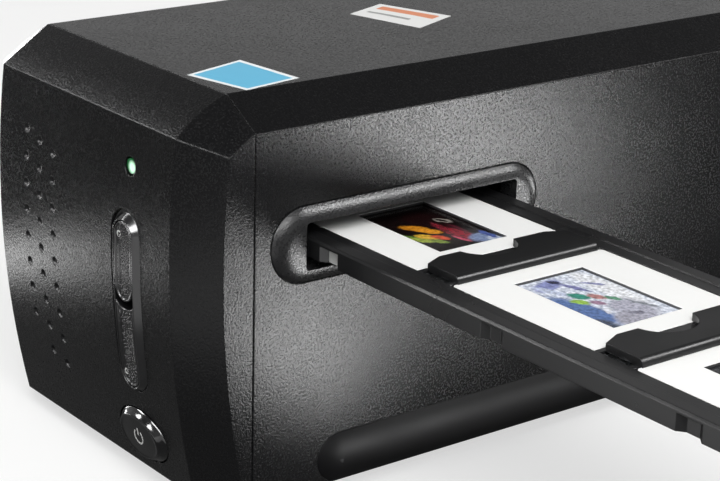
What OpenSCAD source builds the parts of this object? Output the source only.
// Desktop film scanner with a carrier for four mounted slides.
// Millimetres, +Z up. The origin is on the floor under the middle of the housing.
// The keys face -Y, and the carrier stands out of the slot on the +X side.

/* [Housing] */
// Width across the two sides
body_w = 120; // [116:1:126]
// Height of the top above the floor
body_top = 119; // [117:1:126]
// Length of the middle cover, from seam to seam
cover_len = 237.2; // [234:1:250]
// Wall of the housing's mouldings
wall = 2.5; // [2:0.1:2.8]
// Height of the mouldings' lower edge above the floor
cover_z = 6.1; // [5.8:0.1:6.8]
// Width of the sloping top corners
bevel_x = 13.65; // [10:0.5:16]
// Drop of the sloping top corners
bevel_z = 7.8; // [6:0.2:10]
// Width of the seam groove at each end of the cover
seam_gap = 0.4; // [0.2:0.1:0.8]
// Length of the end mouldings' tongues inside the cover
tongue_len = 3.2; // [2:0.2:3.6]
// Thickness of those tongues
tongue_t = 1.5; // [1:0.1:1.8]
// Height of the rubber feet
foot_h = 5; // [4:0.5:5.5]
// Diameter of the rubber feet
foot_d = 16; // [12:1:20]
// Thickness of the base tray's floor
base_t = 2.5; // [2:0.1:2.8]

/* [Front shell] */
// How far the front face bulges beyond the seam
bulge = 17.4; // [16:0.2:20]
// Radius of the bowed front face
face_r = 290; // [250:10:400]
// Height at which the front face stands out furthest
face_z = 73; // [66:1:80]
// Drop of the sloping brow over the front face
brow_z = 10; // [8:0.5:12]
// Radius of the slightly rounded brow
brow_r = 90; // [70:5:200]
// Depth of the sloping cheek on each side of the face
cheek_y = 7.8; // [6:0.2:9]
// Depth of the rear moulding behind the rear seam
rear_depth = 17.4; // [15:0.2:20]

/* [Controls] */
// Distance of the controls' upright line from the housing's middle
control_x = 24.3; // [18:0.1:28]
// Length of the oval recess for the two keys
key_recess_len = 53.4; // [50:0.2:56]
// Width of that recess
key_recess_w = 14.9; // [13:0.1:15.5]
// Height of the recess's middle
key_recess_z = 57.7; // [55:0.1:60]
// Width of the sloping flank of the frame round the keys
frame_flank = 1.5; // [1.2:0.1:1.8]
// How far that frame and the keys stand out of the face
frame_proud = 1.1; // [0.6:0.1:1.4]
// Width of a key
key_w = 8.8; // [8:0.1:9]
// Height of the upper key's upper end
key_top_z = 81.2; // [80:0.1:81.4]
// Height of the lower key's lower end
key_low_z = 32.6; // [32.4:0.1:34]
// Length of the upper key
upper_key_len = 23.1; // [22:0.1:25]
// Gap between the two keys
key_split = 2.1; // [1.4:0.1:2.6]
// Radius of the hollow in the lower key's upper end
key_hollow_r = 7.1; // [6.5:0.1:12]
// Travel of a key
key_travel = 0.8; // [0.5:0.1:1]
// Width of the oval power button's hole
power_w = 24.8; // [20:0.2:26]
// Height of that hole
power_h = 16.4; // [14:0.2:18.4]
// Height of the power button's middle
power_z = 17.2; // [16.8:0.2:20]
// How far the power button stands out
power_proud = 1.8; // [1:0.1:2.4]
// Radius of the power button's dome
power_dome_r = 60; // [45:5:120]
// Travel of the power button
power_travel = 1.2; // [0.8:0.1:1.4]
// Diameter of the pilot light's hole
light_d = 5.4; // [4.6:0.2:6]
// Height of the pilot light
light_z = 96.7; // [92:0.1:98]
// Distance of the pilot light from the controls' upright line
light_shift = 1.3; // [-2:0.1:3]
// Distance from dimple to dimple in a column
dimple_pitch = 8.1; // [7:0.1:8.2]
// Distance between the columns of dimples
dimple_column = 7.5; // [6:0.5:8]
// Radius of the ball that forms a dimple
dimple_r = 1.5; // [1.3:0.1:2.4]
// Depth of a dimple
dimple_depth = 0.8; // [0.3:0.1:1]

/* [Carrier slots] */
// Distance of the slots' middle behind the front seam
path_back = 52.1; // [51.8:0.1:54]
// Height of the slots' middle
path_z = 78.5; // [77.5:0.5:80]
// Length of a slot rim
rim_len = 93; // [90:0.5:94]
// Height of a slot rim
rim_h = 21.4; // [20:0.2:23]
// How far a slot rim stands out
rim_proud = 2.5; // [1.6:0.1:3]
// Length of the slot
slot_len = 73.6; // [71:0.2:75]
// Height of the slot
slot_h = 13.4; // [12:0.2:14]
// Length of a side pod
pod_len = 193; // [170:1:200]
// Height of a side pod
pod_h = 14.7; // [12:0.1:15]
// How far a side pod stands out
pod_proud = 2.4; // [1.6:0.1:3]
// Height of a side pod's middle
pod_z = 13.5; // [13.2:0.1:15]
// Length of a dust flap from its pin
flap_len = 16.6; // [15.6:0.2:17]
// Thickness of a dust flap
flap_t = 1.2; // [0.8:0.1:1.6]
// How far the dust flaps are swung up by the carrier, in degrees
flap_open = 78; // [76:1:84]

/* [Carrier] */
// Width of the carrier
carrier_w = 69.4; // [67:0.2:70.4]
// Thickness of the carrier's rails
carrier_h = 5.5; // [4.8:0.1:5.8]
// Width of a rail
rail_w = 8.6; // [7.6:0.1:8.8]
// Distance from picture to picture
picture_pitch = 65.35; // [65:0.05:67]
// Distance of the first picture outside the housing's side
picture_out = 9.4; // [8:0.2:14]
// Distance from the carrier's inner end to the first picture
carrier_lead = 34.4; // [33:0.2:38]
// Distance from the last picture to the carrier's outer end
carrier_tail = 36.55; // [33:0.2:48]
// Side of a square slide mount
mount_size = 51.4; // [50:0.1:51.6]
// Thickness of a slide mount
mount_t = 1.8; // [1.4:0.1:2.2]
// Length of the picture window
window_l = 36.1; // [34:0.1:37]
// Width of the picture window
window_w = 23.5; // [22:0.1:25]
// Thickness of the film
film_t = 0.15; // [0.12:0.01:0.3]
// Length of a retainer bar across the carrier
bar_len = 48; // [44:0.5:50]
// Thickness of a retainer bar
bar_t = 2.1; // [1.6:0.1:2.4]
// Radius of the finger notch in a retainer bar
notch_r = 9.4; // [7:0.2:11]
// Depth of the detent notches in the rail
detent_depth = 1.6; // [0.8:0.1:1.8]

/* [Scan mechanism] */
// Travel of the optical carriage
scan_travel = 25.4; // [24:0.1:26]
// Diameter of the guide rods
rod_d = 6; // [5:0.5:7]
// Distance of each guide rod from the middle
rod_x = 30; // [28:0.5:32]
// Height of the guide rods and the lead screw
rod_z = 24; // [23.5:0.5:26]
// Diameter of the lead screw
screw_d = 6; // [5:0.5:7]
// Module of the gear teeth
gear_module = 0.8; // [0.7:0.05:0.85]
// Teeth on the lead screw's gear
gear_teeth = 30; // [28:2:32]
// Teeth on the motor's pinion
pinion_teeth = 12; // [12:1:14]
// Diameter of the stepper motor
motor_d = 35; // [32:1:36]
// Half the width of the optical tray
tray_half = 36; // [35:0.5:37]
// Height of the optical tray
tray_h = 31; // [29:0.5:32]
// Radius of the lens barrel
lens_r = 9; // [8:0.5:10]

/* [Hidden] */
$fn = 64;
fine = 360;            // facets of the large rounds when they are drawn as a mesh

far = 400;             // longer than anything it cuts or trims
slack = 0.3;           // gap between pieces that move past each other
fit = 0.2;             // gap between housing pieces that slip together
running = 0.05;        // gap between a shaft and its bore
snug = 0.02;           // gap between pieces that are pressed together

half_w = body_w / 2;
seam_y = -cover_len / 2;
path_y = seam_y + path_back;
inner_x = half_w - wall;

shell_black = "#1b1b1d";
gloss_black = "#0e0e10";
steel = "#b8bcc0";
circuit_green = "#1f5a3a";
white_plastic = "#f1f1ee";

// ---------- shared shapes ----------

// Extrudes an outline drawn in Y and Z along X, from x0 over len
module along_x(x0, len) translate([x0, 0, 0]) rotate([90, 0, 90]) linear_extrude(len) children();

// Extrudes an outline drawn in X and Z along Y, from y0 over len
module along_y(y0, len) translate([0, y0 + len, 0]) rotate([90, 0, 0]) linear_extrude(len) children();

module rod_y(d, y0, len, x, z) translate([x, y0, z]) rotate([-90, 0, 0]) cylinder(d = d, h = len);

module stadium(len, w) {
    square([len - w, w], center = true);
    for (side = [-1, 1]) translate([side * (len - w) / 2, 0]) circle(d = w);
}

module rounded_box_outline(len, w, r) {
    square([len - 2 * r, w], center = true);
    square([len, w - 2 * r], center = true);
    for (sx = [-1, 1], sy = [-1, 1]) translate([sx * (len / 2 - r), sy * (w / 2 - r)]) circle(r = r);
}

function ellipse(a, b, points = 48) =
    [for (i = [0 : points - 1]) [a * cos(360 * i / points), b * sin(360 * i / points)]];

// Cross-section of the cover in X and Z, moved inwards by inset, with its lower edge at z0
slope_len = norm([bevel_x, bevel_z]);
function cover_outline(inset, z0) =
    let (top = body_top - inset,
         side = half_w - inset,
         top_x = half_w - bevel_x - inset * (slope_len - bevel_x) / bevel_z,
         side_z = body_top - bevel_z - inset * (slope_len - bevel_z) / bevel_x)
    [[-side, z0], [side, z0], [side, side_z], [top_x, top], [-top_x, top], [-side, side_z]];

// ---------- end mouldings ----------

// Depth of the bowed face beyond the seam at height z
function face_out(z) = bulge - face_r + sqrt(face_r * face_r - (z - face_z) * (z - face_z));
function face_y(z) = seam_y - face_out(z);

cheek_angle = atan(cheek_y / bevel_x);
cheek_r = face_r / cos(cheek_angle);

// Solid behind the bowed front face, moved in by inset
module behind_face(inset)
    translate([0, seam_y - bulge + face_r, face_z]) rotate([0, 90, 0])
        cylinder(r = face_r - inset, h = far, center = true, $fn = fine);

// Solid behind the right cheek: the bowed face carried on at an angle from the face's edge
module behind_cheek(inset)
    translate([half_w - bevel_x - cheek_r * sin(cheek_angle),
               seam_y - bulge + cheek_r * cos(cheek_angle), face_z])
        rotate([0, 0, cheek_angle]) rotate([0, 90, 0])
            cylinder(r = cheek_r - inset, h = far, center = true, $fn = fine);

// Solid behind the brow, whose arc runs from the cover's top edge to the face's top edge
brow_edge_z = body_top - brow_z;
brow_y = face_out(brow_edge_z);
brow_chord = norm([brow_y, brow_z]);
brow_in = sqrt(brow_r * brow_r - brow_chord * brow_chord / 4) / brow_chord;
module behind_brow(inset)
    translate([0, seam_y - brow_y / 2 + brow_z * brow_in, body_top - brow_z / 2 - brow_y * brow_in])
        rotate([0, 90, 0]) cylinder(r = brow_r - inset, h = far, center = true, $fn = fine);

// Solid behind the flat corner facet, a plane through the three corners next to it.
// A narrow band of the cover's slope is left between the seam and the facet.
facet_band = 0.3;
facet_top = [half_w - bevel_x, seam_y - facet_band, body_top];
facet_side = [half_w, seam_y - facet_band, body_top - bevel_z];
facet_front = [half_w - bevel_x, seam_y - brow_y, brow_edge_z];
facet_cross = cross(facet_front - facet_top, facet_side - facet_top);
facet_normal = facet_cross / norm(facet_cross);
module behind_facet(inset)
    translate(facet_top - inset * facet_normal)
        rotate([0, acos(facet_normal[2]), atan2(facet_normal[1], facet_normal[0])])
            translate([-far / 2, -far / 2, -far]) cube(far);

module front_form(inset, past_seam = 0)
    intersection() {
        along_y(seam_y - 2 * bulge, 2 * bulge + past_seam) polygon(cover_outline(inset, cover_z + inset));
        behind_face(inset);
        behind_cheek(inset);
        mirror([1, 0, 0]) behind_cheek(inset);
        behind_brow(inset);
        behind_facet(inset);
        mirror([1, 0, 0]) behind_facet(inset);
    }

// Tongue behind the front seam that slips into the cover, and its root inside the moulding
tongue_root = 1.6;
module tongue() {
    difference() {
        union() {
            along_y(seam_y - tongue_root, tongue_root)
                polygon(cover_outline(wall - tongue_root / 4, cover_z + 2 * wall));
            along_y(seam_y, tongue_len) polygon(cover_outline(wall + fit, cover_z + 2 * wall));
        }
        along_y(seam_y - far / 2, far) polygon(cover_outline(wall + fit + tongue_t, -far));
    }
}

// ---------- controls on the front ----------

key_gap = 0.25;
key_hole_len = key_top_z - key_low_z + 2 * key_gap;
key_hole_w = key_w + 2 * key_gap;
upper_key_low_z = key_top_z - upper_key_len;

board_t = 1.6;
button_board_y = seam_y - 1.9;
switch_h = 3.5;
plunger_h = 0.9;
switch_tip_y = button_board_y - switch_h - plunger_h;
upper_key_z = key_top_z - upper_key_len / 2;
lower_key_z = (key_low_z + upper_key_low_z) / 2;
light_x = control_x + light_shift;
power_tilt = asin((face_z - power_z) / face_r);
power_gap = 0.3;

// Places a child drawn round the origin on the sloping face, with its -Y pointing out
module at_power() translate([control_x, face_y(power_z), power_z]) rotate([power_tilt, 0, 0]) children();

dimple_counts = [8, 9, 9];
dimple_top_z = 93.9;
dimple_stagger = 1.9;
dimple_x = -30.4;

module front_shell() color(shell_black) {
    post_d = 5;
    difference() {
        union() {
            difference() {
                front_form(0);
                front_form(wall, 1);
            }
            tongue();
            // posts that carry the button board
            for (x = [-1, 1], z = button_board_ends)
                rod_y(post_d, face_y(z) + wall / 2, button_board_y - face_y(z) - wall / 2,
                      control_x + x * (button_board_w - post_d) / 2, z);
        }
        // recess for the keys' bezel, and holes for the pilot light and the power button
        along_y(seam_y - 2 * bulge, 2 * bulge - tongue_root)
            translate([control_x, key_recess_z]) rotate(90) stadium(key_recess_len, key_recess_w);
        rod_y(light_d, seam_y - 2 * bulge, 2 * bulge - tongue_root, light_x, light_z);
        at_power() along_y(-2 * wall, 4 * wall) polygon(ellipse(power_w / 2, power_h / 2));
        // three staggered columns of dimples
        for (column = [0 : len(dimple_counts) - 1], row = [0 : dimple_counts[column] - 1]) {
            z = dimple_top_z - column * dimple_stagger - row * dimple_pitch;
            translate([dimple_x + column * dimple_column, face_y(z) - dimple_r + dimple_depth, z])
                sphere(r = dimple_r);
        }
    }
}

// Half of the section across the raised frame: distance from its middle, and height over the face
frame_land = 0.3;      // width of the frame's flat top
frame_groove = 0.6;    // depth of the groove round the frame
frame_root = 2;        // how far its flanks are carried on behind the face
frame_top = key_hole_w / 2 + frame_land;
frame_foot = frame_top + frame_flank * (frame_proud + frame_root) / (frame_proud + frame_groove);
frame_half = [[0, -frame_root], [frame_foot, -frame_root], [frame_top, frame_proud], [0, frame_proud]];

// Raised frame that follows the bow of the face: its sides are turned about the bow's axis, and
// each end is half a cone round the end of the key there
module raised_frame() translate([control_x, seam_y - bulge + face_r, face_z]) {
    top_angle = asin((key_top_z - key_w / 2 - face_z) / face_r);
    low_angle = asin((key_low_z + key_w / 2 - face_z) / face_r);
    rotate([-90, 0, 0]) rotate([0, 90, 0]) rotate([0, 0, -top_angle])
        rotate_extrude(angle = top_angle - low_angle, $fn = 8 * fine)
            for (side = [0, 1]) mirror([0, side, 0])
                polygon([for (p = frame_half) [face_r + p[1], p[0]]]);
    for (end = [[top_angle, 0], [low_angle, 180]])
        rotate([-end[0], 0, 0]) translate([0, -face_r, 0]) rotate([90, 0, 0]) rotate([0, 0, end[1]])
            rotate_extrude(angle = 180) polygon(frame_half);
}

bezel_depth = 4.6;     // from the furthest point of the face to the bezel's back
module key_bezel() color(gloss_black) {
    front_y = seam_y - 2 * bulge;
    back_y = seam_y - bulge + bezel_depth;
    difference() {
        intersection() {
            along_y(front_y, back_y - front_y) translate([control_x, key_recess_z]) rotate(90)
                stadium(key_recess_len - 2 * snug, key_recess_w - 2 * snug);
            union() {
                behind_face(frame_groove);
                raised_frame();
            }
        }
        along_y(front_y, 3 * bulge) translate([control_x, (key_top_z + key_low_z) / 2]) rotate(90)
            stadium(key_hole_len, key_hole_w);
    }
}

// Outline of a key, moved in by inset
module upper_key_outline(inset) translate([control_x, upper_key_z]) rotate(90)
    stadium(upper_key_len - 2 * inset, key_w - 2 * inset);

module lower_key_outline(inset) difference() {
    union() {
        translate([control_x, key_low_z + key_w / 2]) circle(d = key_w - 2 * inset);
        translate([control_x - key_w / 2 + inset, key_low_z + key_w / 2])
            square([key_w - 2 * inset, upper_key_low_z - key_low_z - key_w / 2]);
    }
    translate([control_x, upper_key_low_z - key_split + key_hollow_r]) circle(r = key_hollow_r + abs(inset));
}

key_edge = 0.7;        // width of a key's raised edge
key_flange = 0.4;      // how far a key's flange reaches out behind the bezel

// A bowed key with a raised edge, a flange that keeps it in, and a stem to its switch.
// Its children are its outline, its sunk field and its flange.
module key_body(stem_z) {
    sunk = 0.3;
    stem_d = 3;
    flange_h = 1;
    front_y = seam_y - 2 * bulge;
    key_back_y = seam_y - bulge + bezel_depth + slack;
    difference() {
        intersection() {
            along_y(front_y, key_back_y - front_y) children(0);
            behind_face(-frame_proud);
        }
        difference() {
            along_y(front_y, 2 * bulge) children(1);
            behind_face(sunk - frame_proud);
        }
    }
    along_y(key_back_y, flange_h) children(2);
    rod_y(stem_d, key_back_y, switch_tip_y - key_travel - running - key_back_y, control_x, stem_z);
}

module upper_key() color(gloss_black) key_body(upper_key_z) {
    upper_key_outline(0);
    upper_key_outline(key_edge);
    upper_key_outline(-key_flange);
}

module lower_key() color(gloss_black) key_body(lower_key_z) {
    lower_key_outline(0);
    lower_key_outline(key_edge);
    lower_key_outline(-key_flange);
}

module power_button() color(gloss_black) {
    a = power_w / 2 - power_gap;
    b = power_h / 2 - power_gap;
    collar = 0.9;
    stem_d = 3;
    back = wall + 2 * slack;
    // the stem's end is square to a tilted axis, so its upper edge reaches the switch first
    stem_y = (switch_tip_y - face_y(power_z)) / cos(power_tilt) - power_travel
        - stem_d / 2 * tan(power_tilt) - running;
    at_power() {
        intersection() {
            along_y(-power_proud, power_proud + back) polygon(ellipse(a, b));
            translate([0, power_dome_r - power_proud, 0]) sphere(r = power_dome_r, $fn = 128);
        }
        // collar behind the shell that keeps the button in
        along_y(back, collar) polygon(ellipse(a + collar, b + collar));
        rod_y(stem_d, back, stem_y - back, 0, 0);
    }
}

module pilot_light() color("#39d27a") {
    lens_d = light_d - 1.2;
    sunk = 0.4;        // depth of the lens below the face
    rod_y(lens_d, face_y(light_z) + sunk, button_board_y - face_y(light_z) - sunk, light_x, light_z);
}

button_board_w = 34;
button_board_ends = [cover_z + wall + 4, light_z + 6];
module button_board() color(circuit_green)
    along_y(button_board_y, board_t)
        translate([control_x, (button_board_ends[0] + button_board_ends[1]) / 2])
            square([button_board_w, button_board_ends[1] - button_board_ends[0] + 5], center = true);

module tact_switches() color("#2b2b2e") {
    plunger_d = 3.4;
    for (z = [upper_key_z, lower_key_z, power_z]) {
        translate([control_x, button_board_y - switch_h / 2, z]) cube([6, switch_h, 6], center = true);
        rod_y(plunger_d, switch_tip_y, plunger_h, control_x, z);
    }
}

// ---------- cover, base and rear ----------

boss_x = inner_x - 5;
boss_y = cover_len / 2 - 10.6;
boss_d = 11;
boss_screw_d = 2.9;
module at_bosses() for (sx = [-1, 1], sy = [-1, 1]) translate([sx * boss_x, sy * boss_y, 0]) children();

rim_gap = 0.3;         // dark gap round a slot rim
pod_pegs = [-0.36, 0, 0.36];
pod_peg_d = 4;

module main_cover() color(shell_black) {
    boss_h = 24;
    inside = cover_len - 2 * seam_gap;
    difference() {
        union() {
            difference() {
                along_y(seam_y + seam_gap, inside) polygon(cover_outline(0, cover_z));
                along_y(seam_y, cover_len) polygon(cover_outline(wall, cover_z - 1));
            }
            intersection() {
                translate([0, 0, foot_h + base_t + slack]) at_bosses() cylinder(d = boss_d, h = boss_h);
                along_y(seam_y, cover_len) polygon(cover_outline(wall / 2, 0));
            }
        }
        at_bosses() cylinder(d = boss_screw_d + 2 * running, h = boss_h);
        for (side = [0, 1]) mirror([side, 0, 0]) {
            along_x(inner_x - 1, 2 * wall) translate([path_y, path_z])
                stadium(rim_len + 2 * rim_gap, rim_h + 2 * rim_gap);
            for (peg = pod_pegs)
                along_x(inner_x - 1, 2 * wall) translate([peg * pod_len, pod_z]) circle(d = pod_peg_d);
        }
    }
}

module base_tray() color("#151517") {
    upstand_t = 1.5;
    upstand_h = 6.5;
    upstand_len = 2 * (boss_y - boss_d);
    side = inner_x - slack;
    head_sink = 1.6;
    difference() {
        translate([-side, seam_y + seam_gap, foot_h]) cube([2 * side, cover_len - 2 * seam_gap, base_t]);
        at_bosses() {
            translate([0, 0, foot_h - 1]) cylinder(d = 3.4, h = base_t + 2);
            translate([0, 0, foot_h - 1]) cylinder(d = 7, h = head_sink + 1);
        }
    }
    for (sx = [-1, 1])
        translate([sx * (side - upstand_t / 2), 0, foot_h + base_t + upstand_h / 2])
            cube([upstand_t, upstand_len, upstand_h], center = true);
}

module rubber_feet() color("#232325") {
    foot_in = 14;
    for (sx = [-1, 1], sy = [-1, 1])
        translate([sx * (half_w - foot_in - 2), sy * (cover_len / 2 - foot_in - 14), 0]) {
            cylinder(d1 = foot_d - 2, d2 = foot_d, h = foot_h / 3);
            translate([0, 0, foot_h / 3]) cylinder(d = foot_d, h = foot_h * 2 / 3);
        }
}

module base_screws() color(steel) {
    head_d = 6;
    head_h = 1.4;
    recess = 1.6;
    at_bosses() {
        difference() {
            translate([0, 0, foot_h + recess - head_h]) cylinder(d = head_d, h = head_h);
            // cross recess for the driver
            for (turn = [0, 90]) translate([0, 0, foot_h]) rotate(turn) cube([3.2, 0.7, 1.4], center = true);
        }
        translate([0, 0, foot_h + recess]) cylinder(d = boss_screw_d, h = 14);
    }
}

// Flat-backed rear moulding with the same sloping edges as the front
module rear_form(inset, past_seam = 0) {
    rear_y = cover_len / 2 + rear_depth;
    intersection() {
        along_y(cover_len / 2 - past_seam, rear_depth - inset + past_seam)
            polygon(cover_outline(inset, cover_z + inset));
        mirror([0, 1, 0]) behind_brow(inset);
        mirror([0, 1, 0]) behind_facet(inset);
        mirror([1, 0, 0]) mirror([0, 1, 0]) behind_facet(inset);
        rear_cheek(rear_y, inset);
        mirror([1, 0, 0]) rear_cheek(rear_y, inset);
    }
}

// Everything on the inner side of the rear moulding's right cheek
module rear_cheek(rear_y, inset)
    translate([half_w - bevel_x, rear_y, 0]) rotate([0, 0, -cheek_angle])
        translate([-far / 2, -far - inset, -far / 2]) cube(far);

usb_x = -20;
inlet_x = 8;
board_z = 68;          // underside of the main board
usb_size = [12, 16.6, 11];
inlet_size = [9.4, 14.6, 11];
inlet_hole_d = 7;
socket_y = cover_len / 2 + rear_depth - wall / 2;

module rear_panel() color(shell_black) {
    lock_w = 7;
    lock_h = 3.2;
    difference() {
        union() {
            difference() {
                rear_form(0);
                rear_form(wall, 1);
            }
            mirror([0, 1, 0]) tongue();
        }
        along_y(cover_len / 2 + rear_depth / 2, rear_depth) {
            translate([usb_x, board_z + board_t + usb_size[2] / 2])
                square([usb_size[0] + 2 * fit, usb_size[2] + 2 * fit], center = true);
            translate([inlet_x, board_z + board_t + inlet_size[2] / 2])
                square([inlet_size[0] + 2 * fit, inlet_size[2] + 2 * fit], center = true);
            // slot for a security lock
            translate([-inlet_x - 38, board_z - 30]) rounded_box_outline(lock_w, lock_h, 1);
        }
    }
}

// ---------- slot rims, pods and dust flaps ----------

flange_t = 1.6;
flange_over = 1.4;
hinge_x = inner_x - flange_t - 3.4;
hinge_z = path_z + slot_h / 2 + 2.4;
pin_d = 2;
barrel_d = 4;
ear_t = 2.2;
ear_y = slot_len / 2 + 1;   // from the slot's middle to an ear's inner face

// Half of a rounded rim's cross-section: flat on top, with an arc that rolls off to the edge
module rim_profile(half, proud) {
    roll = 2 * proud;
    r = (roll * roll + proud * proud) / (2 * proud);
    square([half - roll, proud]);
    intersection() {
        translate([half - roll, proud - r]) circle(r = r, $fn = 128);
        square([half, proud]);
    }
}

// Half of a pod's cross-section: one low arc from edge to middle
module crown_profile(half, proud) {
    r = (half * half + proud * proud) / (2 * proud);
    intersection() {
        translate([0, proud - r]) circle(r = r, $fn = 128);
        square([half, proud]);
    }
}

// Oval pad on the YZ plane at x = 0 whose cross-section is the child drawn from its middle out
module oval_pad(len, w) rotate([90, 0, 90]) {
    for (end = [-1, 1]) translate([end * (len - w) / 2, 0, 0]) rotate_extrude() children();
    translate([-(len - w) / 2, 0, 0]) rotate([90, 0, 90]) linear_extrude(len - w)
        for (side = [0, 1]) mirror([side, 0]) children();
}

module slot_rim() color("#202022") {
    slot_corner_r = 1.2;
    ear_reach = 2.6;
    difference() {
        union() {
            translate([half_w, path_y, path_z]) oval_pad(rim_len, rim_h) rim_profile(rim_h / 2, rim_proud);
            translate([0, path_y, path_z]) {
                along_x(inner_x, wall) stadium(rim_len, rim_h);
                along_x(inner_x - flange_t, flange_t)
                    stadium(rim_len + 2 * flange_over, rim_h + 2 * flange_over);
            }
        }
        along_x(inner_x - 2 * flange_t, far) translate([path_y, path_z])
            rounded_box_outline(slot_len, slot_h, slot_corner_r);
    }
    // ears for the dust flap's pin
    difference() {
        for (side = [-1, 1])
            translate([hinge_x - ear_reach, path_y + side * (ear_y + ear_t / 2) - ear_t / 2,
                       hinge_z - ear_reach])
                cube([inner_x - flange_t - hinge_x + ear_reach, ear_t, 2 * ear_reach]);
        rod_y(pin_d + 2 * snug, path_y - far / 2, far, hinge_x, hinge_z);
    }
}

module slot_rim_right() slot_rim();
module slot_rim_left() mirror([1, 0, 0]) slot_rim();

module side_pod() color(gloss_black) {
    translate([half_w, 0, pod_z]) oval_pad(pod_len, pod_h) crown_profile(pod_h / 2, pod_proud);
    for (peg = pod_pegs)
        along_x(inner_x, wall) translate([peg * pod_len, pod_z]) circle(d = pod_peg_d - 2 * snug);
}

module side_pod_right() side_pod();
module side_pod_left() mirror([1, 0, 0]) side_pod();

// Flap in its open place, swung inwards and up round its pin
module dust_flap() color("#141416")
    translate([hinge_x, path_y, hinge_z]) rotate([0, flap_open, 0]) difference() {
        half = ear_y - slack;
        union() {
            rotate([90, 0, 0]) cylinder(d = barrel_d, h = 2 * half, center = true);
            translate([-flap_t / 2, -half, -flap_len]) cube([flap_t, 2 * half, flap_len]);
        }
        rotate([90, 0, 0]) cylinder(d = pin_d + 2 * running, h = far, center = true);
    }

module dust_flap_right() dust_flap();
module dust_flap_left() mirror([1, 0, 0]) dust_flap();

module flap_pins() color(steel) {
    half = ear_y + ear_t;
    for (side = [-1, 1]) rod_y(pin_d, path_y - half, 2 * half, side * hinge_x, hinge_z);
}

// ---------- slide carrier ----------

carrier_z = path_z - 3.5;
first_picture_x = half_w + picture_out;
carrier_x = first_picture_x - carrier_lead;
pictures = [0 : 3];
carrier_len = carrier_lead + 3 * picture_pitch + carrier_tail;
bay_w = carrier_w - 2 * rail_w;
bay_clear = 0.4;       // gap round a slide mount
floor_z = carrier_z + 1;
slide_z = floor_z + 2.1;                    // underside of the slide mounts
member_z = slide_z + mount_t + running;     // top of the bars between the slides
detent_w = 4;
pocket_depth = 1.4;    // pocket for a spring leaf under each bar's end on the keys' side
pocket_size = [10, 6.4];
pocket_y = 0.5 - bay_w / 2;                  // its outer edge, from the carrier's middle

module at_pictures() for (i = pictures) translate([first_picture_x + i * picture_pitch, path_y, 0]) children();
module between_pictures() for (i = [0 : 2])
    translate([first_picture_x + (i + 0.5) * picture_pitch, path_y, 0]) children();

module rail_profile() {
    // drawn outwards from the carrier's middle: a low inner step, a higher outer step, a chamfer
    outer = carrier_w / 2;
    step = 4.4;
    chamfer = 0.6;
    polygon([[outer - rail_w, 0], [outer, 0], [outer, carrier_h - chamfer],
             [outer - chamfer, carrier_h], [outer - step, carrier_h],
             [outer - step, carrier_h - 0.45], [outer - rail_w, carrier_h - 0.45]]);
}

module carrier_frame() color("#1d1d1f") {
    corner_r = 2.5;
    hole_l = window_l + 6;
    hole_w = window_w + 8;
    bay = mount_size + 2 * bay_clear;
    difference() {
        intersection() {
            union() {
                for (side = [0, 1]) translate([carrier_x, path_y, carrier_z]) mirror([0, side, 0])
                    along_x(0, carrier_len) rail_profile();
                translate([carrier_x, path_y - bay_w / 2, floor_z])
                    cube([carrier_len, bay_w, member_z - floor_z]);
            }
            translate([carrier_x + carrier_len / 2, path_y, 0]) linear_extrude(far)
                rounded_box_outline(carrier_len, carrier_w, corner_r);
        }
        at_pictures() {
            translate([-bay / 2, -bay_w / 2, slide_z]) cube([bay, bay_w, far]);
            translate([-hole_l / 2, -hole_w / 2, 0]) cube([hole_l, hole_w, far]);
            // notch for the detent, in the lower part of the near rail
            translate([0, -carrier_w / 2, 0]) linear_extrude(carrier_z + carrier_h - 1.2)
                polygon([[-detent_w, -1], [-detent_w, 0], [-detent_w / 2, detent_depth],
                         [detent_w / 2, detent_depth], [detent_w, 0], [detent_w, -1]]);
        }
        between_pictures() translate([-pocket_size[0] / 2, pocket_y, member_z - pocket_depth])
            cube([pocket_size[0], pocket_size[1], far]);
        // thumb hollow in the outer end
        translate([carrier_x + carrier_len + 6, path_y, 0]) cylinder(r = 12, h = far);
    }
}

// Leaf in each pocket with two upturned ends
module retainer_springs() color(steel) between_pictures() {
    leaf_t = 0.4;
    leaf = [pocket_size[0] - 2 * slack, 5];
    tab_h = 0.9;
    translate([-leaf[0] / 2, pocket_y + slack, member_z - pocket_depth]) {
        cube([leaf[0], leaf[1], leaf_t]);
        cube([1.2, 1.2, tab_h]);
        translate([4.2, 0, 0]) cube([2.6, 1.2, tab_h]);
    }
}

// Bar that holds two slides down, with a scooped finger notch on the scanner's side
module slide_retainers() color("#232325") between_pictures() {
    lip = 0.5;         // how far a bar reaches over each slide
    half = (picture_pitch - mount_size) / 2 + lip;
    round_r = 1.6;
    clip_x = 2.7;
    clip_y = 6;
    notch_y = -1.8;
    difference() {
        along_y(-bar_len / 2, bar_len) translate([0, member_z]) {
            translate([-half, 0]) square([2 * half - round_r, bar_t]);
            translate([-half, 0]) square([2 * half, bar_t - round_r]);
            intersection() {
                translate([half - round_r, bar_t - round_r]) circle(r = round_r);
                square([half, bar_t]);
            }
        }
        translate([-notch_r, notch_y, 0]) cylinder(r = notch_r, h = far);
        // clipped corners at both ends
        for (end = [-1, 1])
            linear_extrude(far) polygon([[-half - 1, end * (bar_len / 2 + 1)],
                [-half + clip_x, end * (bar_len / 2 + 1)], [-half + clip_x, end * bar_len / 2],
                [-half, end * (bar_len / 2 - clip_y)], [-half - 1, end * (bar_len / 2 - clip_y)]]);
    }
}

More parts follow.
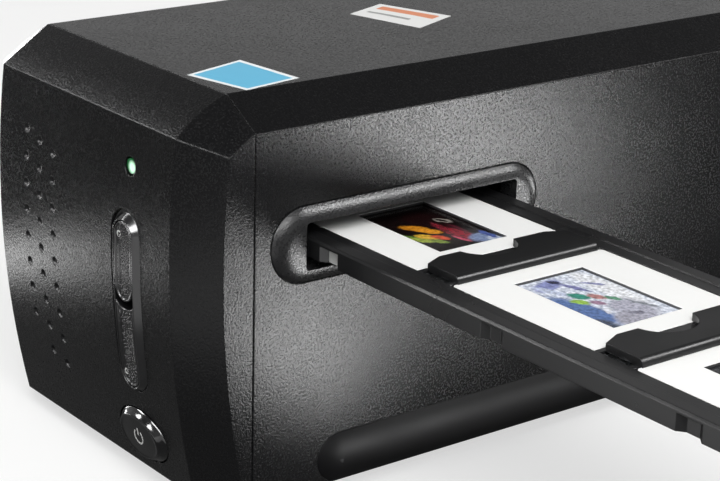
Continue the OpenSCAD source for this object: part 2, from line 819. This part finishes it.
pocket_over = 1.1;     // how far the film's pocket reaches under the window's edge
film_mid = mount_t / 2;
module slide_mounts() color(white_plastic) at_pictures() {
    corner_r = 1.2;
    pocket_h = film_t + 0.1;
    translate([0, 0, slide_z]) difference() {
        linear_extrude(mount_t) rounded_box_outline(mount_size, mount_size, corner_r);
        translate([-window_l / 2, -window_w / 2, -1]) cube([window_l, window_w, mount_t + 2]);
        translate([0, 0, film_mid])
            cube([window_l + 2 * pocket_over, window_w + 2 * pocket_over, pocket_h], center = true);
    }
}

module film_chips() color("#5a6a86") at_pictures()
    translate([0, 0, slide_z + film_mid])
        cube([window_l + 2 * pocket_over - 0.2, window_w + 2 * pocket_over - 0.2, film_t], center = true);

// ---------- chassis and film gate ----------

chassis_z = foot_h + base_t;
chassis_t = 2.5;
chassis_top = chassis_z + chassis_t;
bracket_t = 4;
gate_half = 48;
gate_clear = 0.4;      // side gap between the carrier and the gate's rails
gate_wall = 2.4;
gate_y = carrier_w / 2 + gate_clear + gate_wall;
gate_z = carrier_z - 8;
gate_t = 3;
leg = 6;
scan_y = path_y + scan_travel / 2;             // scan line at rest
web_y = path_y + gate_y + 0.8 + scan_travel;   // front of the lamp arm's web at rest
tray_z = rod_z + 7;
tray_back_y = web_y + 58;
axis_z = tray_z + tray_h / 2 - 0.5;            // height of the folded light path
front_bracket_y = path_y - gate_y - 8;
rear_bracket_y = tray_back_y + 8;
chassis_back_y = cover_len / 2 - 4;
board_y0 = web_y + 15;
board_y1 = cover_len / 2 + rear_depth - wall - 9;
pillar_x = 42;
pillar_d = 6;
pillar_ys = [board_y0 + pillar_d / 2 + 0.5, chassis_back_y - 4];
home_x = gate_half - 5;
home_y = tray_back_y - 6;
home_z = tray_z + 3;

module chassis() color("#2a2b2e") {
    side = inner_x - 3.5;
    bracket_x = rod_x + 8;
    difference() {
        union() {
            difference() {
                translate([-side, front_bracket_y, chassis_z])
                    cube([2 * side, chassis_back_y - front_bracket_y, chassis_t]);
                at_bosses() cylinder(d = boss_d + 2, h = far);
                // window under the lead screw
                translate([-14, front_bracket_y + 2 * bracket_t, 0])
                    cube([28, rear_bracket_y - front_bracket_y - 3 * bracket_t, far]);
            }
            for (y = [front_bracket_y, rear_bracket_y])
                translate([-bracket_x, y, chassis_z]) cube([2 * bracket_x, bracket_t, rod_z + 7 - chassis_z]);
            for (sx = [-1, 1], y = pillar_ys)
                translate([sx * pillar_x, y, chassis_z]) cylinder(d = pillar_d, h = board_z - chassis_z);
            translate([-home_x - 3, home_y - 5, chassis_z]) cube([6, 10, home_z - chassis_z]);
        }
        for (sx = [-1, 1]) rod_y(rod_d + 2 * snug, -far / 2, far, sx * rod_x, rod_z);
        rod_y(screw_d + 2 * running, -far / 2, far, 0, rod_z);
    }
}

module gate_rail() {
    outer = gate_y;
    inner = gate_y - gate_wall;
    lip_z = carrier_z + carrier_h + slack;
    polygon([[inner - 6.5, gate_z + gate_t], [outer, gate_z + gate_t], [outer, lip_z + 1.5],
             [inner - 3.5, lip_z + 1.5], [inner - 3.5, lip_z], [inner, lip_z],
             [inner, carrier_z - slack], [inner - 6.5, carrier_z - slack]]);
}

module film_gate() color("#26272a") {
    rail_half = hinge_x - flap_len - 1.5;
    aperture_l = window_l + 6;
    aperture_w = scan_travel + 8;
    spring_window = 8;
    difference() {
        union() {
            translate([-gate_half, path_y - gate_y, gate_z]) cube([2 * gate_half, 2 * gate_y, gate_t]);
            for (side = [0, 1]) translate([0, path_y, 0]) mirror([0, side, 0])
                along_x(-rail_half, 2 * rail_half) gate_rail();
            for (sx = [-1, 1], sy = [-1, 1])
                translate([sx * (gate_half - leg / 2), path_y + sy * (gate_y - leg / 2), 0])
                    translate([-leg / 2, -leg / 2, chassis_top]) cube([leg, leg, gate_z - chassis_top]);
        }
        translate([-aperture_l / 2, path_y - aperture_w / 2, 0]) cube([aperture_l, aperture_w, far]);
        // window for the detent spring's nose
        translate([-spring_window / 2, path_y - gate_y - 1, carrier_z - slack])
            cube([spring_window, gate_wall + 2, carrier_h + slack]);
    }
}

module detent_spring() color(steel) {
    leaf_t = 0.4;
    leaf_len = 26;
    leaf_h = 4;
    nose_r = 1.6;
    z = carrier_z + 0.6;
    back_y = path_y - gate_y - leaf_t;
    tip_y = path_y - carrier_w / 2 - slack;
    translate([-leaf_len / 2, back_y, z]) cube([leaf_len, leaf_t, leaf_h]);
    translate([0, tip_y - nose_r, z]) cylinder(r = nose_r, h = leaf_h);
    translate([-nose_r / 2, back_y, z]) cube([nose_r, tip_y - nose_r - back_y, leaf_h]);
}

module guide_rods() color(steel) for (sx = [-1, 1])
    rod_y(rod_d, front_bracket_y, rear_bracket_y + bracket_t - front_bracket_y, sx * rod_x, rod_z);

// ---------- optical carriage ----------

tray_front_y = scan_y - 22;
tray_wall = 2.5;
bush_d = rod_d + 3;
bush_len = 10;
bush_ys = [tray_front_y + 5, tray_back_y - 16];
nut_d = screw_d + 6;
nut_y = web_y - 6;
nut_len = 12;
mirror_w = 22;
lens_y = web_y + 12;
lens_len = 22;

module optical_tray() color("#1f2022") {
    len = tray_back_y - tray_front_y;
    housing_w = bush_d + 4;
    saddle_t = 6;
    shelf = 5;
    difference() {
        union() {
            difference() {
                translate([-tray_half, tray_front_y, tray_z]) cube([2 * tray_half, len, tray_h]);
                translate([-tray_half + tray_wall, tray_front_y + tray_wall, tray_z + tray_wall])
                    cube([2 * (tray_half - tray_wall), len - 2 * tray_wall, far]);
            }
            // housings for the bushes and the nut
            for (sx = [-1, 1], y = bush_ys)
                translate([sx * rod_x - housing_w / 2, y, rod_z - housing_w / 2])
                    cube([housing_w, bush_len, tray_z - rod_z + housing_w / 2 + 1]);
            translate([-nut_d / 2 - 2, nut_y, rod_z - nut_d / 2 - 2])
                cube([nut_d + 4, nut_len, tray_z - rod_z + nut_d / 2 + 3]);
            // saddle for the lens barrel
            for (y = [lens_y + 2, lens_y + lens_len - saddle_t - 2])
                translate([-lens_r - 5, y, tray_z + 1]) cube([2 * lens_r + 10, saddle_t, axis_z - tray_z - 1]);
            // two sloping cheeks that carry the mirror
            for (sx = [-1, 1]) translate([sx * (mirror_l / 2 - shelf / 2) - shelf / 2, 0, 0])
                along_x(0, shelf) mirror_cheek();
            // flag for the home sensor
            translate([-home_x - 0.5, home_y - 3, axis_z]) cube([home_x - tray_half + 1, 6, 1.2]);
            translate([-home_x - 0.5, home_y - 3, axis_z - 5]) cube([1, 6, 6.2]);
        }
        for (sx = [-1, 1]) rod_y(bush_d + 2 * snug, -far / 2, far, sx * rod_x, rod_z);
        rod_y(nut_d + 2 * snug, nut_y - 1, nut_len + 2, 0, rod_z);
        rod_y(2 * lens_r + 2 * snug, lens_y, lens_len, 0, axis_z);
    }
}

mirror_l = 50;
mirror_t = 2;
// Wedge in Y and Z whose sloping face lies under the mirror
module mirror_cheek() {
    reach = mirror_w / 2 / sqrt(2);
    back = mirror_t / 2 * sqrt(2);
    polygon([[scan_y - reach - back, tray_z + 1], [scan_y + reach, tray_z + 1],
             [scan_y + reach, axis_z - reach - back], [scan_y - reach - back, axis_z + reach]]);
}

module fold_mirror() color("#cfd6db")
    translate([0, scan_y, axis_z]) rotate([-45, 0, 0])
        cube([mirror_l, mirror_w, mirror_t], center = true);

module carriage_bushes() color("#c79a4a") for (sx = [-1, 1], y = bush_ys) difference() {
    rod_y(bush_d, y, bush_len, sx * rod_x, rod_z);
    rod_y(rod_d + 2 * running, y - 1, bush_len + 2, sx * rod_x, rod_z);
}

module drive_nut() color("#e7e4da") difference() {
    rod_y(nut_d, nut_y, nut_len, 0, rod_z);
    rod_y(screw_d + 2 * running, nut_y - 1, nut_len + 2, 0, rod_z);
}

lamp_z = carrier_z + 17;        // underside of the lamp arm
arm_half = 30;
arm_t = 3;
web_t = 4;
module lamp_arm() color("#1f2022") {
    foot_w = 12;
    front = scan_y - 10;
    rib_h = 4;
    // arch that stands in the tray and leaves the light path free
    difference() {
        translate([-arm_half, web_y, tray_z + tray_wall]) cube([2 * arm_half, web_t, lamp_z + arm_t - tray_z - tray_wall]);
        translate([-arm_half + foot_w, web_y - 1, tray_z])
            cube([2 * (arm_half - foot_w), web_t + 2, tray_h + 2]);
    }
    translate([-arm_half, front, lamp_z]) cube([2 * arm_half, web_y + web_t - front, arm_t]);
    for (sx = [-1, 1]) translate([sx * (arm_half - 1) - 1, front, lamp_z + arm_t - 0.1])
        cube([2, web_y + web_t - front, rib_h + 0.1]);
}

diffuser_l = 46;
diffuser_w = 12;
diffuser_h = 4.4;
module lamp_board() color("#e9e9e4")
    translate([-diffuser_l / 2 - 3, scan_y - diffuser_w / 2 - 2, lamp_z - board_t])
        cube([diffuser_l + 6, diffuser_w + 4, board_t]);

module diffuser() color("#f7f7f2") translate([0, scan_y, lamp_z - board_t - diffuser_h / 2]) difference() {
    skin = 1.2;
    cube([diffuser_l, diffuser_w, diffuser_h], center = true);
    translate([0, 0, skin]) cube([diffuser_l - 2 * skin, diffuser_w - 2 * skin, diffuser_h], center = true);
}

module lens_barrel() color("#101012") difference() {
    rod_y(2 * lens_r, lens_y, lens_len, 0, axis_z);
    rod_y(2 * lens_r - 4, lens_y - 1, lens_len + 2, 0, axis_z);
}

// Two glasses, each flat on its inner side and crowned on its outer side
module lens_glasses() color("#bcd3dd") {
    r = lens_r - 2 - snug;
    edge = 1.6;
    crown_r = 14;
    for (end = [0, 1]) translate([0, lens_y + lens_len / 2, axis_z]) mirror([0, end, 0])
        translate([0, -lens_len / 2 + 4, 0]) intersection() {
            rotate([90, 0, 0]) cylinder(r = r, h = 2 * edge + 2, center = true);
            translate([0, crown_r - edge - 1, 0]) sphere(r = crown_r);
            translate([0, far / 2 - edge - 1, 0]) cube([far, far, far], center = true);
        }
}

sensor_h = 3;
module sensor_board() color(circuit_green)
    translate([-tray_half + 4, tray_back_y - tray_wall - board_t, tray_z + tray_wall])
        cube([2 * tray_half - 8, board_t, tray_h - tray_wall - 2]);

module line_sensor() color("#3a3a3e")
    translate([-22, tray_back_y - tray_wall - board_t - sensor_h, axis_z - 4.5]) cube([44, sensor_h, 9]);

// ---------- drive ----------

gear_w = 5;
gear_y = rear_bracket_y + bracket_t + 1;
screw_gear_r = gear_module * gear_teeth / 2;
pinion_r = gear_module * pinion_teeth / 2;
motor_angle = 60;      // direction from the screw to the motor's shaft, from +X
gear_centres = screw_gear_r + pinion_r + 0.06;
motor_x = gear_centres * cos(motor_angle);
motor_z = rod_z + gear_centres * sin(motor_angle);
motor_shaft_d = 2.4;
plate_y = gear_y + gear_w + 1.5;
plate_t = 1.5;
motor_len = 20;

// Outline of a spur gear with straight-sided teeth: each tooth has a wide root and a narrow tip
function tooth(r, module_mm, a, step) =
    let (root = r - 1.2 * module_mm, tip = r + 0.95 * module_mm)
    [[root * cos(a - 0.32 * step), root * sin(a - 0.32 * step)],
     [r * cos(a - 0.23 * step), r * sin(a - 0.23 * step)],
     [tip * cos(a - 0.11 * step), tip * sin(a - 0.11 * step)],
     [tip * cos(a + 0.11 * step), tip * sin(a + 0.11 * step)],
     [r * cos(a + 0.23 * step), r * sin(a + 0.23 * step)],
     [root * cos(a + 0.32 * step), root * sin(a + 0.32 * step)]];
function gear_outline(teeth, module_mm, start) =
    [for (i = [0 : teeth - 1]) each tooth(teeth * module_mm / 2, module_mm,
        start + 360 * i / teeth, 360 / teeth)];

module lead_screw() color(steel)
    rod_y(screw_d, front_bracket_y, gear_y + gear_w - front_bracket_y, 0, rod_z);

module screw_gear() color("#e7e4da") translate([0, 0, rod_z]) along_y(gear_y, gear_w) difference() {
    // a tooth points along the line to the motor's shaft
    polygon(gear_outline(gear_teeth, gear_module, motor_angle));
    circle(d = screw_d + 2 * snug);
}

module motor_pinion() color("#d8b45a") translate([motor_x, 0, motor_z])
    along_y(gear_y, gear_w) difference() {
        // a gap faces the screw gear's tooth
        polygon(gear_outline(pinion_teeth, gear_module, motor_angle + 180 + 180 / pinion_teeth));
        circle(d = motor_shaft_d + 2 * snug);
    }

module motor_shaft() color(steel)
    rod_y(motor_shaft_d, gear_y - 0.5, plate_y + plate_t + 8 - gear_y, motor_x, motor_z);

module motor_plate() color("#9aa0a6") difference() {
    side = motor_d / 2 + 6;
    translate([motor_x - side, plate_y, chassis_top])
        cube([2 * side, plate_t, motor_z + motor_d / 2 - chassis_top]);
    rod_y(pinion_r * 2 + 6, plate_y - 1, plate_t + 2, motor_x, motor_z);
}

module stepper_motor() color("#6d7176") difference() {
    union() {
        rod_y(motor_d, plate_y + plate_t, motor_len, motor_x, motor_z);
        // mounting ears
        along_y(plate_y + plate_t, 1) translate([motor_x, motor_z]) stadium(motor_d + 12, 9);
    }
    rod_y(motor_shaft_d + 2 * running, plate_y + plate_t - 1, 9, motor_x, motor_z);
}

module home_sensor() color("#18181a") translate([-home_x, home_y, home_z]) difference() {
    translate([-3.5, -3, 0]) cube([7, 6, axis_z - home_z - 1]);
    translate([-1.5, -4, 3]) cube([3, 8, far]);
}

// ---------- boards and sockets ----------

module main_board() color(circuit_green)
    translate([-pillar_x - 5, board_y0, board_z]) cube([2 * pillar_x + 10, board_y1 - board_y0, board_t]);

module board_chips() color("#1a1a1c") translate([0, (board_y0 + board_y1) / 2, board_z + board_t]) {
    translate([-26, -12, 0]) cube([24, 24, 1.8]);
    translate([14, 6, 0]) cube([18, 10, 1.2]);
    translate([14, -14, 0]) cube([18, 10, 1.2]);
    for (x = [-38, -26, -14]) translate([x, 28, 0]) cylinder(d = 6.3, h = 8);
}

module usb_socket() color("#c9ccd0") {
    y0 = socket_y - usb_size[1];
    translate([usb_x - usb_size[0] / 2, y0, board_z + board_t]) difference() {
        cube(usb_size);
        translate([1, 4, 1]) cube([usb_size[0] - 2, far, usb_size[2] - 2]);
    }
    // tongue that carries the contacts
    translate([usb_x - 2.8, y0 + 3, board_z + board_t + 3.9]) cube([5.6, usb_size[1] - 5, 3.2]);
}

module power_inlet() color("#161618") translate([inlet_x, 0, board_z + board_t]) {
    y0 = socket_y - inlet_size[1];
    difference() {
        translate([-inlet_size[0] / 2, y0, 0]) cube(inlet_size);
        rod_y(inlet_hole_d, y0 + 3, far, 0, inlet_size[2] / 2);
    }
    rod_y(2, y0 + 2, inlet_size[1] - 4, 0, inlet_size[2] / 2);
}

main_cover();
front_shell();
rear_panel();
base_tray();
rubber_feet();
base_screws();
slot_rim_right();
slot_rim_left();
side_pod_right();
side_pod_left();
key_bezel();
pilot_light();
button_board();
tact_switches();
chassis();
film_gate();
detent_spring();
guide_rods();
motor_plate();
stepper_motor();
main_board();
board_chips();
usb_socket();
power_inlet();
home_sensor();
flap_pins();
dust_flap_right();
dust_flap_left();
carrier_frame();
slide_retainers();
retainer_springs();
slide_mounts();
film_chips();
upper_key();
lower_key();
power_button();
optical_tray();
carriage_bushes();
lamp_arm();
lamp_board();
diffuser();
fold_mirror();
lens_barrel();
lens_glasses();
sensor_board();
line_sensor();
drive_nut();
lead_screw();
screw_gear();
motor_shaft();
motor_pinion();
